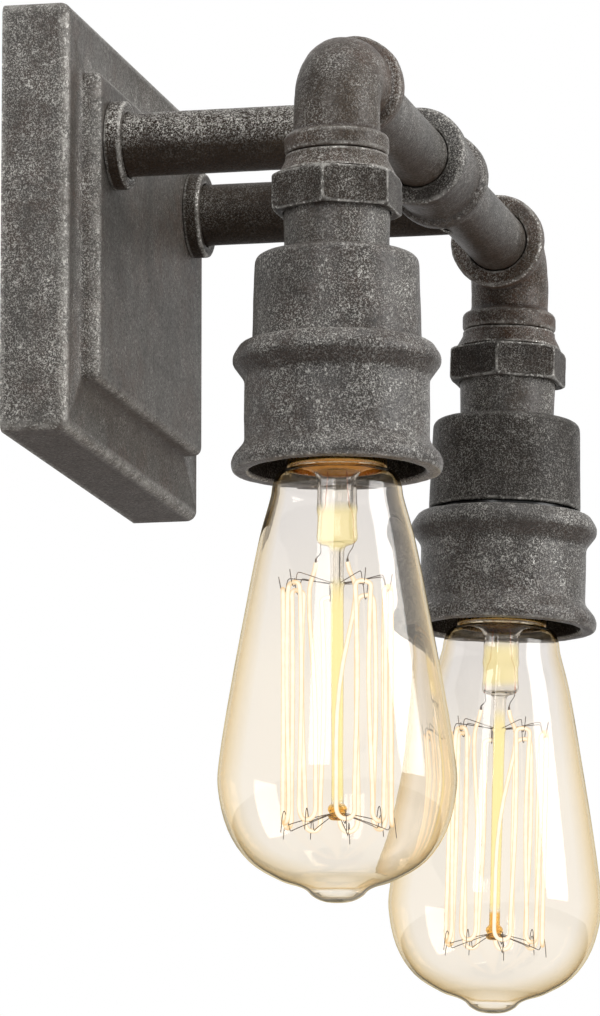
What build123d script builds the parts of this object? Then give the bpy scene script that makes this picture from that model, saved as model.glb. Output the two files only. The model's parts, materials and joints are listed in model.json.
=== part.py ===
from build123d import *
import math
import os

# Industrial pipe wall light with two lamps.
# X runs along the wall, +Y into the wall, +Z up. The origin is the centre of the wall face of the back plate.
# Heights inside a lamp are measured down from the axis of the cross pipe.

os.makedirs("parts", exist_ok=True)

# ---- Driving dimensions, in millimetres ----

# Back plate: a pan with a raised inner panel
PLATE_WIDTH = 157.0
PLATE_HEIGHT = 120.6
PLATE_DEPTH = 19.0
PLATE_SHEET = 1.2
PLATE_EDGE_ROUND = 3.0
PANEL_MARGIN = 16.4
PANEL_RISE = 5.2
PANEL_EDGE_ROUND = 2.2
PANEL_CORNER_ROUND = 3.0

# Pipes
PIPE_RADIUS = 9.0
PIPE_BORE_RADIUS = 6.6
PIPE_FIT = 0.05
ARM_HALF_SPACING = 47.5
ARM_TAIL = 9.5
PIPE_HEIGHT = 25.4
PIPE_FROM_WALL = 104.7
LEAD_HOLE_RADIUS = 5.0

# Arm flanges, washers and lock nuts
FLANGE_RADIUS = 12.5
FLANGE_THICKNESS = 4.8
WASHER_RADIUS = 12.0
WASHER_THICKNESS = 1.2
LOCK_NUT_FLATS = 25.0
LOCK_NUT_THICKNESS = 4.5

# Centre coupling of the cross pipe
COUPLING_HALF_LENGTH = 17.9
COUPLING_BODY_RADIUS = 12.7
COUPLING_BAND_RADIUS = 14.2
COUPLING_BAND_WIDTH = 6.6
SOCKET_DEPTH = 10.0

# Elbows
LAMP_HALF_SPACING = 123.5
ELBOW_LENGTH = 23.5
ELBOW_BEND_RADIUS = 12.4
ELBOW_BODY_RADIUS = 11.7
ELBOW_BORE_RADIUS = 7.8
ELBOW_BAND_RADIUS = 14.15
ELBOW_BAND_WIDTH = 5.4

# Union: tail, nut and nipple
NECK_TOP_RADIUS = 13.9
NECK_FOOT_RADIUS = 15.9
NUT_TOP = 29.0
NUT_BOTTOM = 39.4
NUT_FLATS = 32.0
UNION_LIP_RADIUS = 11.5
UNION_LIP_HEIGHT = 2.2
UNION_COLLAR_RADIUS = 13.6
UNION_COLLAR_HEIGHT = 2.0
NIPPLE_RADIUS = 14.3
NIPPLE_FOOT_RADIUS = 14.0

# Socket cup
CUP_TOP = 50.7
CUP_BOTTOM = 78.0
CUP_TOP_RADIUS = 22.0
CUP_BOTTOM_RADIUS = 22.8
CUP_WALL = 1.5
CUP_SHOULDER_ROUND = 2.6
CUP_HOLE_RADIUS = 11.0
CUP_NUT_RADIUS = 16.0
CUP_NUT_THICKNESS = 3.5

# Bell, measured where it is pushed right up
BELL_TOP = 74.8
BELL_BOTTOM = 109.4
BELL_BORE_RADIUS = 23.2
BELL_BEAD_RADIUS = 27.9
BELL_BARREL_RADIUS = 24.8
BELL_RIM_RADIUS = 28.4
BELL_WEB_TOP = 84.0
BELL_WEB_THICKNESS = 2.0

# How much lower each socket hangs than when it is screwed right up
SOCKET_DROP = {"left": 0.0, "right": 4.4}

# How far each elbow is turned on the cross pipe: the lean of its lamp towards the wall, in degrees
LAMP_LEAN = {"left": 0.0, "right": 1.7}

# Socket: stem, cap, body, shell
STEM_RADIUS = 4.85
STEM_BORE_RADIUS = 3.4
STEM_TOP = 49.0
STEM_BOTTOM = 65.5
SOCKET_CAP_TOP = 61.0
SOCKET_CAP_RADIUS = 20.4
SOCKET_ROOF = 3.0
SOCKET_WALL = 2.0
SOCKET_BOSS_RADIUS = 8.5
SOCKET_JOINT = 71.0
SOCKET_FLOOR_TOP = 75.0
SOCKET_BODY_RADIUS = 20.8
SOCKET_BARREL_RADIUS = 18.6
SOCKET_BOTTOM = 104.0
SHELL_SEAT_RADIUS = 14.1
SHELL_TOP = 82.6
SHELL_BOTTOM = 103.4
SHELL_SHEET = 0.6
SHELL_RIDGE = 0.7
SHELL_RIDGE_CENTRE_RADIUS = 13.3
SHELL_LIP_BORE_RADIUS = 8.0
TERMINAL_RADIUS = 11.0
TERMINAL_SCREW_RADIUS = 1.55
CONTACT_POCKET_RADIUS = 6.5
POCKET_DEPTH = 2.6
RIVET_RADIUS = 2.9
CONTACT_SHEET = 0.5
CONTACT_GAP = 0.1
RING_RADIUS = 22.3
RING_THICKNESS = 4.0

# Screw thread of the bulb cap: seven turns to the inch
THREAD_PITCH = 25.4 / 7
THREAD_CORE_RADIUS = 12.15
THREAD_RIDGE = 0.95
THREAD_TURNS = 4.5

# Bulb
CONTACT_TOP = 81.6
CONTACT_BUTTON_RADIUS = 4.2
CONTACT_BUTTON_HEIGHT = 1.4
CAP_TOP = 86.6
CAP_TOP_RADIUS = 9.6
CAP_SHEET = 0.6
CAP_BOTTOM = 108.0
CAP_SKIRT_RADIUS = 13.3
# radius and depth of the bulb's outside, from the neck to where it closes over the drawn tip
GLASS_OUTLINE = [
    (12.6, 108.3), (15.6, 109.6), (17.3, 115.0), (20.5, 127.1), (24.9, 149.3), (28.6, 169.6), (31.1, 185.8),
    (31.6, 193.5), (28.9, 204.6), (23.4, 212.8), (15.4, 218.0), (8.5, 219.9), (0.0, 220.5),
]
GLASS_WALL = 0.8
NECK_GLASS_HEIGHT = 3.2
PIP_BOTTOM = 223.9
STEM_FOOT_RADIUS = 10.6
STEM_TUBE_RADIUS = 5.2
PINCH_TOP = 119.0
PINCH_BOTTOM = 128.2
ROD_RADIUS = 1.7
ROD_BOTTOM = 200.0
CAGE_RADIUS = 14.6
CAGE_TOP = 139.2
CAGE_BOTTOM = 202.5
HAIRPIN_LEGS = 18
FILAMENT_RADIUS = 0.28
SUPPORT_RADIUS = 0.3

# Leads
LEAD_RADIUS = 0.95
LEAD_SPREAD = 1.3
CONNECTOR_Y = -11.0
CONNECTOR_HALF_SPACING = 9.0
CONNECTOR_MOUTH_Z = -8.0
CONNECTOR_LENGTH = 24.0
LEAD_STAGGER = 2.5
LEAD_BENDS = [2.5, 4.0, 3.6, 5.2, 6.0, 3.0]

# Mounting bracket
BRACKET_WIDTH = 104.0
BRACKET_HEIGHT = 96.0
BRACKET_SHEET = 1.6
BRACKET_SLOT_SPACING = 88.9
BRACKET_SLOT_LENGTH = 10.0
BRACKET_SLOT_HALF_WIDTH = 2.4
BRACKET_HOLE_RADIUS = 19.0
TAB_HALF_SPACING = 36.0
TAB_WIDTH = 14.0
TAB_REACH = 12.0
PLATE_SCREW_RADIUS = 2.0
PLATE_SCREW_LENGTH = 8.0
GROUND_SCREW_RADIUS = 1.85
GROUND_SCREW_Z = -34.0
SCREW_HEAD_RADIUS = 3.9
SCREW_HEAD_HEIGHT = 2.3

SIDES = {"left": -1, "right": 1}
INNER_FACE = -(PLATE_DEPTH + PANEL_RISE - PLATE_SHEET)
PANEL_FACE = -(PLATE_DEPTH + PANEL_RISE)


# ---- Helpers ----

def rounded_outline(outline):
    """A closed face in the XY plane from (x, y, corner round), each corner rounded by its own arc."""
    points = [Vector(x, y) for x, y, _ in outline]
    count = len(points)
    edges = []
    ends = []
    for index, (point, (_, _, corner_round)) in enumerate(zip(points, outline)):
        before = (points[index - 1] - point).normalized()
        after = (points[(index + 1) % count] - point).normalized()
        if not corner_round:
            ends.append((point, point))
            continue
        half_angle = math.acos(max(-1.0, min(1.0, before.dot(after)))) / 2
        reach = corner_round / math.tan(half_angle)
        start, end = point + before * reach, point + after * reach
        middle = (before + after).normalized()
        crown = point + middle * (corner_round / math.sin(half_angle) - corner_round)
        edges.append(ThreePointArc(start, crown, end))
        ends.append((start, end))
    for index in range(count):
        edges.append(Line(ends[index - 1][1], ends[index][0]))
    return make_face(edges)


def lathe(outline):
    """A piece turned about Z, from its half outline as (radius, height, corner round)."""
    return Rot(90, 0, 0) * revolve(rounded_outline(outline), Axis.Y, 360)


def along_x(shape):
    """Lay a piece turned about Z along X, its top towards +X."""
    return Rot(0, 90, 0) * shape


def along_y(shape):
    """Lay a piece turned about Z along Y, its top towards -Y, out of the wall."""
    return Rot(90, 0, 0) * shape


def rod(radius, start, end):
    """A round rod from start to end."""
    return sweep(Plane(start, z_dir=Vector(*end) - Vector(*start)) * Circle(radius), Line(start, end))


def wire_rod(radius, points, bend):
    """A round wire along points, with its corners bent to the radius bend."""
    path = FilletPolyline(*points, radius=bend)
    return sweep(Plane(path @ 0, z_dir=path % 0) * Circle(radius), path)


def hexagon(flats, height, chamfer):
    """A hexagonal prism about Z from 0 up to height, with a corner towards +X and turned-off corners."""
    prism = extrude(RegularPolygon(flats / 2, 6, major_radius=False), height)
    corner = flats / math.sqrt(3) + 0.3
    blank = lathe([
        (0, 0, 0), (corner - chamfer, 0, 0), (corner, chamfer * 0.6, 0),
        (corner, height - chamfer * 0.6, 0), (corner - chamfer, height, 0), (0, height, 0),
    ])
    return prism & blank


def thread_ridge(radius, ridge_radius, bottom, turns):
    """A right-hand rounded thread ridge about Z, drawn up from height bottom."""
    path = Helix(THREAD_PITCH, turns * THREAD_PITCH, radius, center=(0, 0, bottom))
    profile = Plane(path @ 0, z_dir=path % 0) * Circle(ridge_radius)
    return sweep(profile, path, is_frenet=True)


def save(name, *solids):
    """Write one node: a single solid, or a group of separate like ones."""
    shape = solids[0] if len(solids) == 1 else Compound(children=list(solids))
    shape.label = name
    export_step(shape, f"parts/{name}.step")


def at_lamp(side, shape, drop=0.0):
    """Move a piece drawn about a lamp's own axis to its place."""
    elbow_centre = Pos(SIDES[side] * LAMP_HALF_SPACING, -PIPE_FROM_WALL, PIPE_HEIGHT)
    return elbow_centre * Rot(LAMP_LEAN[side], 0, 0) * Pos(0, 0, -drop) * shape


def in_lamp(side, x, depth):
    """A point in a lamp's own upright plane along the wall, at a depth below the cross pipe's axis."""
    lean = math.radians(LAMP_LEAN[side])
    return (x, -PIPE_FROM_WALL + depth * math.sin(lean), PIPE_HEIGHT - depth * math.cos(lean))


# ---- Back plate and what fastens it ----

def rounded_block(width, height, depth, back, edge_round, corner_round):
    """A block that stands out from Y = back towards -Y, its front edges and its corners rounded."""
    block = Pos(0, back - depth / 2, 0) * Box(width, depth, height)
    block = fillet(block.edges().filter_by(Axis.Y), corner_round)
    front = block.faces().sort_by(Axis.Y)[0]
    return fillet(front.edges(), edge_round)


def make_back_plate():
    """The hollow pan: outer shell, raised panel, holes for the arms and for the plate screws."""
    panel_width = PLATE_WIDTH - 2 * PANEL_MARGIN
    panel_height = PLATE_HEIGHT - 2 * PANEL_MARGIN
    lap = 2.0
    outside = rounded_block(PLATE_WIDTH, PLATE_HEIGHT, PLATE_DEPTH, 0, PLATE_EDGE_ROUND, PLATE_EDGE_ROUND)
    outside += rounded_block(panel_width, panel_height, PANEL_RISE + lap, -PLATE_DEPTH + lap,
                             PANEL_EDGE_ROUND, PANEL_CORNER_ROUND)
    inside = rounded_block(PLATE_WIDTH - 2 * PLATE_SHEET, PLATE_HEIGHT - 2 * PLATE_SHEET,
                           PLATE_DEPTH - PLATE_SHEET, 0, PLATE_EDGE_ROUND - PLATE_SHEET,
                           PLATE_EDGE_ROUND - PLATE_SHEET)
    inside += rounded_block(panel_width - 2 * PLATE_SHEET, panel_height - 2 * PLATE_SHEET,
                            PANEL_RISE + lap, -PLATE_DEPTH + PLATE_SHEET + lap,
                            PANEL_EDGE_ROUND - PLATE_SHEET, PANEL_CORNER_ROUND - PLATE_SHEET)
    plate = outside - inside
    for sign in SIDES.values():
        plate -= Pos(sign * ARM_HALF_SPACING, PANEL_FACE, PIPE_HEIGHT) * Rot(90, 0, 0) * Cylinder(
            PIPE_RADIUS + PIPE_FIT, 6 * PLATE_SHEET)
        plate -= Pos(sign * TAB_HALF_SPACING, -TAB_REACH / 2 - BRACKET_SHEET, PLATE_HEIGHT / 2) * Cylinder(
            PLATE_SCREW_RADIUS + 0.2, 6 * PLATE_SHEET)
    return plate


def tab_top():
    """Height of the upper face of the bracket's tabs, just under the plate's top wall."""
    return PLATE_HEIGHT / 2 - PLATE_SHEET


def make_bracket():
    """The sheet bracket that is screwed to the wall box: slots, wire hole, and two tabs bent forwards."""
    sheet_y = -BRACKET_SHEET / 2
    bracket = Pos(0, sheet_y, 0) * Box(BRACKET_WIDTH, BRACKET_SHEET, BRACKET_HEIGHT)
    bracket = fillet(bracket.edges().filter_by(Axis.Y), 6.0)
    top = tab_top()
    for sign in SIDES.values():
        riser_height = top - BRACKET_HEIGHT / 2 + 8.0
        bracket += Pos(sign * TAB_HALF_SPACING, sheet_y, top - riser_height / 2) * Box(
            TAB_WIDTH, BRACKET_SHEET, riser_height)
        bracket += Pos(sign * TAB_HALF_SPACING, -TAB_REACH / 2, top - BRACKET_SHEET / 2) * Box(
            TAB_WIDTH, TAB_REACH, BRACKET_SHEET)
        bracket -= Pos(sign * TAB_HALF_SPACING, -TAB_REACH / 2 - BRACKET_SHEET, top) * Cylinder(
            PLATE_SCREW_RADIUS + PIPE_FIT, 6 * BRACKET_SHEET)
        slot = SlotOverall(BRACKET_SLOT_LENGTH, 2 * BRACKET_SLOT_HALF_WIDTH)
        cutter = Rot(90, 0, 0) * extrude(slot, 4 * BRACKET_SHEET, both=True)
        bracket -= Pos(sign * BRACKET_SLOT_SPACING / 2, 0, 0) * cutter
    bracket -= Rot(90, 0, 0) * Cylinder(BRACKET_HOLE_RADIUS, 6 * BRACKET_SHEET)
    bracket -= Pos(0, 0, GROUND_SCREW_Z) * Rot(90, 0, 0) * Cylinder(
        GROUND_SCREW_RADIUS + PIPE_FIT, 6 * BRACKET_SHEET)
    return bracket


def machine_screw(radius, head_radius, head_height, length):
    """A round-head machine screw about Z: head above Z = 0, shank below, cross slots in the head."""
    screw = lathe([
        (0, head_height, 0), (head_radius * 0.55, head_height, 0), (head_radius, 0.8, 0), (head_radius, 0, 0),
        (radius, 0, 0), (radius, -length, 0.5), (0, -length, 0),
    ])
    for angle in (0, 90):
        screw -= Rot(0, 0, angle) * Pos(0, 0, head_height) * Box(head_radius * 1.1, 0.9, 1.8)
    return screw


def make_plate_screws():
    """The two screws through the plate's top wall into the bracket's tabs."""
    screw = machine_screw(PLATE_SCREW_RADIUS, SCREW_HEAD_RADIUS, SCREW_HEAD_HEIGHT, PLATE_SCREW_LENGTH)
    return [
        Pos(sign * TAB_HALF_SPACING, -TAB_REACH / 2 - BRACKET_SHEET, PLATE_HEIGHT / 2) * screw
        for sign in SIDES.values()
    ]


def make_ground_screw():
    """The ground screw, head forwards, in the bracket below the wire hole."""
    screw = machine_screw(GROUND_SCREW_RADIUS, SCREW_HEAD_RADIUS, SCREW_HEAD_HEIGHT, BRACKET_SHEET)
    return Pos(0, -BRACKET_SHEET, GROUND_SCREW_Z) * along_y(screw)


def make_wire_connector(x, z):
    """A closed-end wire connector that lies with its mouth up."""
    end = -CONNECTOR_LENGTH
    cap = lathe([
        (0, end, 0), (2.6, end, 1.2), (3.4, end + 2, 0), (4.6, -4, 0), (5.2, 0, 0), (4.4, 0, 0), (3.6, -3, 0),
        (2.6, end + 6, 0), (0, end + 6, 0),
    ])
    for index in range(6):
        cap += Rot(0, 0, 60 * index) * Pos(4.4, 0, -6) * Box(1.2, 1.0, 8)
    return Pos(x, CONNECTOR_Y, z) * cap


# ---- Arms and cross pipe ----

def make_arm(side):
    """A straight pipe from behind the panel to the back of the cross pipe, coped to fit it."""
    x = SIDES[side] * ARM_HALF_SPACING
    tail_y = INNER_FACE + ARM_TAIL
    arm = rod(PIPE_RADIUS, (x, tail_y, PIPE_HEIGHT), (x, -PIPE_FROM_WALL, PIPE_HEIGHT))
    arm -= rod(PIPE_BORE_RADIUS, (x, tail_y + 1, PIPE_HEIGHT), (x, -PIPE_FROM_WALL - 1, PIPE_HEIGHT))
    cope = rod(PIPE_RADIUS, (x - 30, -PIPE_FROM_WALL, PIPE_HEIGHT), (x + 30, -PIPE_FROM_WALL, PIPE_HEIGHT))
    return arm - cope


def make_arm_flange(side):
    """The round collar that stands on the panel round the arm."""
    bore = PIPE_RADIUS + PIPE_FIT
    flange = lathe([
        (bore, 0, 0), (FLANGE_RADIUS, 0, 0.4), (FLANGE_RADIUS, FLANGE_THICKNESS, 0.9),
        (bore + 0.6, FLANGE_THICKNESS, 0), (bore, FLANGE_THICKNESS - 0.6, 0),
    ])
    return Pos(SIDES[side] * ARM_HALF_SPACING, PANEL_FACE, PIPE_HEIGHT) * along_y(flange)


def make_arm_washer(side):
    """The washer between the panel's inner face and the lock nut."""
    bore = PIPE_RADIUS + PIPE_FIT
    washer = lathe([(bore, 0, 0), (WASHER_RADIUS, 0, 0), (WASHER_RADIUS, WASHER_THICKNESS, 0),
                    (bore, WASHER_THICKNESS, 0)])
    return Pos(SIDES[side] * ARM_HALF_SPACING, INNER_FACE + WASHER_THICKNESS, PIPE_HEIGHT) * along_y(washer)


def make_arm_lock_nut(side):
    """The hexagonal nut that draws the arm's flange against the panel."""
    nut = Rot(0, 0, 30) * hexagon(LOCK_NUT_FLATS, LOCK_NUT_THICKNESS, 1.0)
    nut -= Cylinder(PIPE_RADIUS + PIPE_FIT, 4 * LOCK_NUT_THICKNESS)
    y = INNER_FACE + WASHER_THICKNESS + LOCK_NUT_THICKNESS
    return Pos(SIDES[side] * ARM_HALF_SPACING, y, PIPE_HEIGHT) * along_y(nut)


def make_cross_pipe(side):
    """Half of the cross pipe, from the centre coupling to the elbow, with a hole where the arm meets it."""
    sign = SIDES[side]
    inner_x = sign * (COUPLING_HALF_LENGTH - SOCKET_DEPTH)
    outer_x = sign * (LAMP_HALF_SPACING - ELBOW_LENGTH + SOCKET_DEPTH)
    y, z = -PIPE_FROM_WALL, PIPE_HEIGHT
    pipe = rod(PIPE_RADIUS, (inner_x, y, z), (outer_x, y, z))
    pipe -= rod(PIPE_BORE_RADIUS, (inner_x - sign, y, z), (outer_x + sign, y, z))
    hole_x = sign * ARM_HALF_SPACING
    return pipe - rod(LEAD_HOLE_RADIUS, (hole_x, y, z), (hole_x, y + 2 * PIPE_RADIUS, z))


def make_centre_coupling():
    """The banded coupling in the middle of the cross pipe, with a socket for a pipe at each end."""
    half, band, body = COUPLING_HALF_LENGTH, COUPLING_BAND_RADIUS, COUPLING_BODY_RADIUS
    bore = PIPE_RADIUS + PIPE_FIT
    shoulder = half - SOCKET_DEPTH
    inner = half - COUPLING_BAND_WIDTH
    coupling = lathe([
        (bore, -half, 0), (band, -half, 1.6), (band, -inner, 1.6), (body, -inner, 1.2),
        (body, inner, 1.2), (band, inner, 1.6), (band, half, 1.6), (bore, half, 0),
        (bore, shoulder, 0), (PIPE_BORE_RADIUS, shoulder, 0), (PIPE_BORE_RADIUS, -shoulder, 0),
        (bore, -shoulder, 0),
    ])
    return Pos(0, -PIPE_FROM_WALL, PIPE_HEIGHT) * along_x(coupling)


# ---- Lamps: elbow, union, cup, bell ----

def make_elbow():
    """The elbow of the right lamp about its own corner: one leg towards -X, one down."""
    path = FilletPolyline((-ELBOW_LENGTH, 0, 0), (0, 0, 0), (0, 0, -ELBOW_LENGTH), radius=ELBOW_BEND_RADIUS)
    start = Plane((-ELBOW_LENGTH, 0, 0), z_dir=(1, 0, 0))
    elbow = sweep(start * Circle(ELBOW_BODY_RADIUS), path)
    inner = ELBOW_LENGTH - ELBOW_BAND_WIDTH
    band = lathe([
        (0, -ELBOW_LENGTH, 0), (ELBOW_BAND_RADIUS, -ELBOW_LENGTH, 1.2),
        (ELBOW_BAND_RADIUS, -inner, 1.8), (ELBOW_BODY_RADIUS - 1, -inner + 0.9, 0), (0, -inner + 0.9, 0),
    ])
    elbow += band
    elbow += Rot(0, 90, 0) * band
    elbow -= sweep(start * Circle(ELBOW_BORE_RADIUS), path)
    socket_x = -ELBOW_LENGTH + SOCKET_DEPTH / 2
    return elbow - Pos(socket_x, 0, 0) * Rot(0, 90, 0) * Cylinder(PIPE_RADIUS + PIPE_FIT, SOCKET_DEPTH)


def make_union_tail():
    """The upper half of the union: a conical neck under the elbow and a collar inside the nut."""
    top, foot = -ELBOW_LENGTH, -NUT_TOP
    lip_foot = foot - UNION_LIP_HEIGHT
    collar_foot = lip_foot - UNION_COLLAR_HEIGHT
    return lathe([
        (ELBOW_BORE_RADIUS, top, 0), (NECK_TOP_RADIUS, top, 0), (NECK_TOP_RADIUS, top - 1.6, 0),
        (NECK_FOOT_RADIUS, foot, 0), (UNION_LIP_RADIUS, foot, 0), (UNION_LIP_RADIUS, lip_foot, 0),
        (UNION_COLLAR_RADIUS, lip_foot, 0), (UNION_COLLAR_RADIUS, collar_foot, 0),
        (ELBOW_BORE_RADIUS, collar_foot, 0),
    ])


def make_union_nut():
    """The hexagonal nut that holds the union's tail down on the nipple."""
    height = NUT_BOTTOM - NUT_TOP
    nut = Pos(0, 0, -NUT_BOTTOM) * hexagon(NUT_FLATS, height, 1.6)
    nut -= Pos(0, 0, -NUT_TOP) * Cylinder(UNION_LIP_RADIUS + 2 * PIPE_FIT, 2 * UNION_LIP_HEIGHT)
    bore_top = NUT_TOP + UNION_LIP_HEIGHT - 2 * PIPE_FIT
    bore_length = NUT_BOTTOM - bore_top
    return nut - Pos(0, 0, -bore_top - bore_length / 2) * Cylinder(NIPPLE_RADIUS + PIPE_FIT, bore_length)


def make_nipple():
    """The nipple between union and cup: shoulder on the cup, threaded foot inside it, tapped for the stem."""
    top = NUT_TOP + UNION_LIP_HEIGHT + UNION_COLLAR_HEIGHT + 2 * PIPE_FIT
    foot = CUP_TOP + CUP_WALL + CUP_NUT_THICKNESS + 0.8
    floor = CUP_TOP - 1.0
    return lathe([
        (ELBOW_BORE_RADIUS, -top, 0), (NIPPLE_RADIUS, -top, 0.5), (NIPPLE_RADIUS, -NUT_BOTTOM - 2, 0),
        (NIPPLE_FOOT_RADIUS, -CUP_TOP, 0), (CUP_HOLE_RADIUS - PIPE_FIT, -CUP_TOP, 0),
        (CUP_HOLE_RADIUS - PIPE_FIT, -foot, 0.5), (STEM_RADIUS + PIPE_FIT, -foot, 0),
        (STEM_RADIUS + PIPE_FIT, -floor, 0), (ELBOW_BORE_RADIUS, -floor, 0),
    ])


def make_socket_cup():
    """The cup under the nipple: a cap with a rounded shoulder and a slightly flared wall."""
    return lathe([
        (CUP_HOLE_RADIUS, -CUP_TOP, 0), (CUP_TOP_RADIUS, -CUP_TOP, CUP_SHOULDER_ROUND),
        (CUP_BOTTOM_RADIUS, -CUP_BOTTOM, 0.4), (CUP_BOTTOM_RADIUS - CUP_WALL, -CUP_BOTTOM, 0.4),
        (CUP_TOP_RADIUS - CUP_WALL, -CUP_TOP - CUP_WALL, 1.0), (CUP_HOLE_RADIUS, -CUP_TOP - CUP_WALL, 0),
    ])


def make_cup_nut():
    """The ring nut inside the cup that clamps it to the nipple, with two notches for a spanner."""
    top = -CUP_TOP - CUP_WALL
    bottom = top - CUP_NUT_THICKNESS
    nut = lathe([(CUP_HOLE_RADIUS, top, 0), (CUP_NUT_RADIUS, top, 0.4), (CUP_NUT_RADIUS, bottom, 0.4),
                 (CUP_HOLE_RADIUS, bottom, 0)])
    return nut - Pos(0, 0, bottom) * Box(2 * CUP_NUT_RADIUS + 2, 3.0, 3.0)


def make_bell():
    """The bell: beaded top, straight barrel, flanged mouth, and a web inside that the ring clamps."""
    top, bottom = -BELL_TOP, -BELL_BOTTOM
    web_top = -BELL_WEB_TOP
    web_bottom = web_top - BELL_WEB_THICKNESS
    web_bore = SOCKET_BARREL_RADIUS + 0.1
    return lathe([
        (BELL_BORE_RADIUS, top, 0), (BELL_BEAD_RADIUS - 2.2, top, 1.2), (BELL_BEAD_RADIUS, top - 3.4, 1.6),
        (BELL_BEAD_RADIUS, top - 5.4, 1.6), (BELL_BARREL_RADIUS, top - 9.6, 2.4),
        (BELL_BARREL_RADIUS, bottom + 8.0, 3.0), (BELL_RIM_RADIUS - 0.6, bottom + 4.4, 0.8),
        (BELL_RIM_RADIUS, bottom + 2.6, 0.8), (BELL_RIM_RADIUS - 0.4, bottom, 0.9),
        (BELL_BORE_RADIUS + 0.4, bottom, 0.5), (BELL_BORE_RADIUS, bottom + 2.0, 0),
        (BELL_BORE_RADIUS, web_bottom, 0), (web_bore, web_bottom, 0), (web_bore, web_top, 0),
        (BELL_BORE_RADIUS, web_top, 0),
    ])


# ---- Socket ----

def make_socket_stem():
    """The hollow threaded stem between the nipple and the socket cap."""
    return lathe([
        (STEM_BORE_RADIUS, -STEM_TOP, 0), (STEM_RADIUS, -STEM_TOP, 0.4), (STEM_RADIUS, -STEM_BOTTOM, 0.4),
        (STEM_BORE_RADIUS, -STEM_BOTTOM, 0),
    ])


def make_socket_cap():
    """The black cap over the wire chamber, with the tapped boss that takes the stem."""
    top, joint = -SOCKET_CAP_TOP, -SOCKET_JOINT
    chamber = SOCKET_CAP_RADIUS - SOCKET_WALL
    roof = top - SOCKET_ROOF
    boss_foot = roof - SOCKET_WALL
    return lathe([
        (STEM_RADIUS + PIPE_FIT, top, 0), (SOCKET_CAP_RADIUS, top, 2.5), (SOCKET_CAP_RADIUS, joint, 0),
        (chamber, joint, 0), (chamber, roof, 1.0), (SOCKET_BOSS_RADIUS, roof, 0),
        (SOCKET_BOSS_RADIUS, boss_foot, 0), (STEM_RADIUS + PIPE_FIT, boss_foot, 0),
    ])


def make_socket_body():
    """The black socket body: wire chamber, floor with the terminals, and the barrel round the screw shell."""
    joint, floor = -SOCKET_JOINT, -SOCKET_FLOOR_TOP
    shoulder = -BELL_WEB_TOP
    barrel = SOCKET_BARREL_RADIUS
    chamber = SOCKET_CAP_RADIUS - SOCKET_WALL
    pocket_roof = -SHELL_TOP + POCKET_DEPTH
    rivet_hole = RIVET_RADIUS + 2 * PIPE_FIT
    body = lathe([
        (chamber, joint, 0), (SOCKET_BODY_RADIUS, joint, 0), (SOCKET_BODY_RADIUS, shoulder, 0.5),
        (barrel, shoulder, 0), (barrel, -SOCKET_BOTTOM, 1.0), (SHELL_SEAT_RADIUS, -SOCKET_BOTTOM, 0),
        (SHELL_SEAT_RADIUS, -SHELL_TOP, 0), (CONTACT_POCKET_RADIUS, -SHELL_TOP, 0),
        (CONTACT_POCKET_RADIUS, pocket_roof, 0), (rivet_hole, pocket_roof, 0), (rivet_hole, floor, 0),
        (chamber, floor, 0),
    ])
    for sign in (-1, 1):
        body -= Pos(sign * TERMINAL_RADIUS, 0, floor) * Cylinder(TERMINAL_SCREW_RADIUS + PIPE_FIT, 8.2)
    return body


def make_terminal_screws():
    """The two screws that hold the leads, in the floor of the wire chamber."""
    screw = machine_screw(TERMINAL_SCREW_RADIUS, 3.0, 1.5, 3.6)
    return [Pos(sign * TERMINAL_RADIUS, 0, -SOCKET_FLOOR_TOP) * screw for sign in (-1, 1)]


def thread_foot():
    """Height of the lower end of the thread on the bulb's cap."""
    return -CAP_TOP - 0.4 - THREAD_TURNS * THREAD_PITCH


def make_screw_shell():
    """The brass screw shell: a thin sleeve with a rolled-in thread and an inward lip at its top."""
    outer = SHELL_SEAT_RADIUS - PIPE_FIT
    inner = outer - SHELL_SHEET
    lip_foot = -SHELL_TOP - SHELL_SHEET
    sleeve = lathe([
        (SHELL_LIP_BORE_RADIUS, -SHELL_TOP, 0), (outer, -SHELL_TOP, 0), (outer, -SHELL_BOTTOM, 0),
        (inner, -SHELL_BOTTOM, 0), (inner, lip_foot, 0), (SHELL_LIP_BORE_RADIUS, lip_foot, 0),
    ])
    start = thread_foot() + THREAD_PITCH / 2
    return sleeve + thread_ridge(SHELL_RIDGE_CENTRE_RADIUS, SHELL_RIDGE, start, THREAD_TURNS)


def make_centre_contact():
    """The sprung brass tongue that meets the bulb's contact, riveted through the socket's floor."""
    bottom = -CONTACT_TOP + CONTACT_GAP
    neck_foot = bottom + CONTACT_SHEET
    roof = -SHELL_TOP + POCKET_DEPTH
    tongue = Pos(0, 0, bottom + CONTACT_SHEET / 2) * Box(6.0, 5.0, CONTACT_SHEET)
    pillar = lathe([
        (0, neck_foot, 0), (2.2, neck_foot, 0), (2.2, roof, 0), (RIVET_RADIUS, roof, 0),
        (RIVET_RADIUS, -SOCKET_FLOOR_TOP, 0), (0, -SOCKET_FLOOR_TOP, 0),
    ])
    return tongue + pillar


def make_retaining_ring():
    """The black threaded ring that clamps the bell's web to the socket body, with finger notches."""
    top = -BELL_WEB_TOP - BELL_WEB_THICKNESS
    bottom = top - RING_THICKNESS
    bore = SOCKET_BARREL_RADIUS + PIPE_FIT
    ring = lathe([(bore, top, 0), (RING_RADIUS, top, 0.5), (RING_RADIUS, bottom, 0.8), (bore, bottom, 0)])
    for index in range(12):
        ring -= Rot(0, 0, 30 * index) * Pos(RING_RADIUS, 0, bottom) * Box(1.6, 1.8, 2 * RING_THICKNESS - 2)
    return ring


# ---- Bulb ----

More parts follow.
